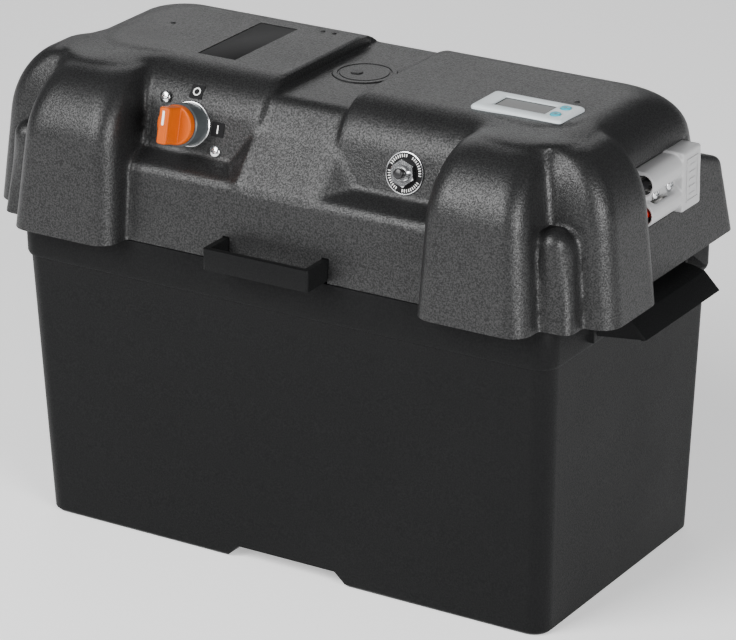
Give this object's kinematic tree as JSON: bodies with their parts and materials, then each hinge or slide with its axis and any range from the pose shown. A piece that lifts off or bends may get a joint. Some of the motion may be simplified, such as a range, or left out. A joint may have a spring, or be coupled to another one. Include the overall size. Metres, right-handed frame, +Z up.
{
  "type": "battery box",
  "caption": "Portable plastic battery box with a lift-off lid, rotary isolator, push-reset breaker, panel meter and twin-pole end connectors.",
  "frame": {"origin": "middle of the footprint, on the surface the feet stand on", "axes": "+X along the front towards the right end, +Y from the front to the back, +Z up"},
  "size_m": [0.428, 0.241, 0.297],
  "materials": {
    "case_black": "smooth moulded polypropylene, very fine grain",
    "lid_charcoal": "moulded polypropylene with a leather grain",
    "plate_black": "printed film",
    "collar_grey": "moulded nylon",
    "ring_silver": "bright trim ring",
    "moulding_black": "moulded",
    "steel_zinc": "zinc plated",
    "knob_orange": "satin moulded",
    "print_white": "inlay",
    "screw_chrome": "bright nickel",
    "brass_terminal": "machined",
    "button_black": "moulded",
    "bezel_grey": "light grey moulded",
    "meter_glass": "clear window",
    "board_green": "circuit board",
    "display_grey": "liquid crystal cell",
    "button_teal": "moulded",
    "connector_grey": "moulded polycarbonate",
    "contact_silver": "silver plated copper",
    "grommet_rubber": "soft ring",
    "lead_red": "soft insulation",
    "lead_black": "soft insulation"
  },
  "bodies": {
    "knob": {"isolator_knob": "knob_orange", "isolator_pointer": "print_white", "isolator_shaft": "steel_zinc"},
    "breaker_reset": {"breaker_button": "button_black"},
    "meter_key_upper": {"meter_button_upper": "button_teal"},
    "meter_key_lower": {"meter_button_lower": "button_teal"},
    "base": {"base_case": "case_black"},
    "lid": {"lid_shell": "lid_charcoal", "rating_plate": "plate_black", "isolator_collar": "collar_grey", "isolator_face_ring": "ring_silver", "isolator_body": "moulding_black", "isolator_screws": "screw_chrome", "isolator_screw_nuts": "steel_zinc", "isolator_studs": "brass_terminal", "isolator_stud_nuts": "steel_zinc", "isolator_lug": "brass_terminal", "on_plate": "plate_black", "off_plate": "plate_black", "breaker_nameplate": "plate_black", "breaker_nut": "screw_chrome", "breaker_bushing": "screw_chrome", "breaker_lock_washer": "steel_zinc", "breaker_body": "moulding_black", "breaker_clamps": "brass_terminal", "meter_bezel": "bezel_grey", "meter_window": "meter_glass", "meter_body": "moulding_black", "meter_board": "board_green", "meter_display_cell": "display_grey", "right_connector_housing": "connector_grey", "left_connector_housing": "connector_grey", "right_connector_contacts": "contact_silver", "left_connector_contacts": "contact_silver", "right_connector_screws": "screw_chrome", "left_connector_screws": "screw_chrome", "right_connector_nuts": "steel_zinc", "left_connector_nuts": "steel_zinc", "right_lead_grommets": "grommet_rubber", "left_lead_grommets": "grommet_rubber", "negative_post_base": "moulding_black", "negative_post_stud": "brass_terminal", "negative_clamp": "brass_terminal", "negative_post_nut": "steel_zinc", "right_red_lead": "lead_red", "left_red_lead": "lead_red", "link_lead": "lead_red", "right_black_lead": "lead_black", "left_black_lead": "lead_black"}
  },
  "joints": [
    {"name": "lid_lift", "type": "slide", "parent": "base", "child": "lid", "axis": [0, 0, 1], "range_m": [0, 0.12]},
    {"name": "isolator_turn", "type": "hinge", "parent": "lid", "child": "knob", "pos_m": [-0.0736, -0.07444, 0.264], "axis": [0, 0.9659, -0.2588], "range_deg": [0, 90]},
    {"name": "breaker_reset_slide", "type": "slide", "parent": "lid", "child": "breaker_reset", "axis": [0, -0.9659, 0.2588], "range_m": [0, 0.005]},
    {"name": "meter_key_upper_press", "type": "slide", "parent": "lid", "child": "meter_key_upper", "axis": [0, 0, -1], "range_m": [0, 0.0006], "stiffness_N_per_m": 400},
    {"name": "meter_key_lower_press", "type": "slide", "parent": "lid", "child": "meter_key_lower", "axis": [0, 0, -1], "range_m": [0, 0.0006], "stiffness_N_per_m": 400}
  ]
}
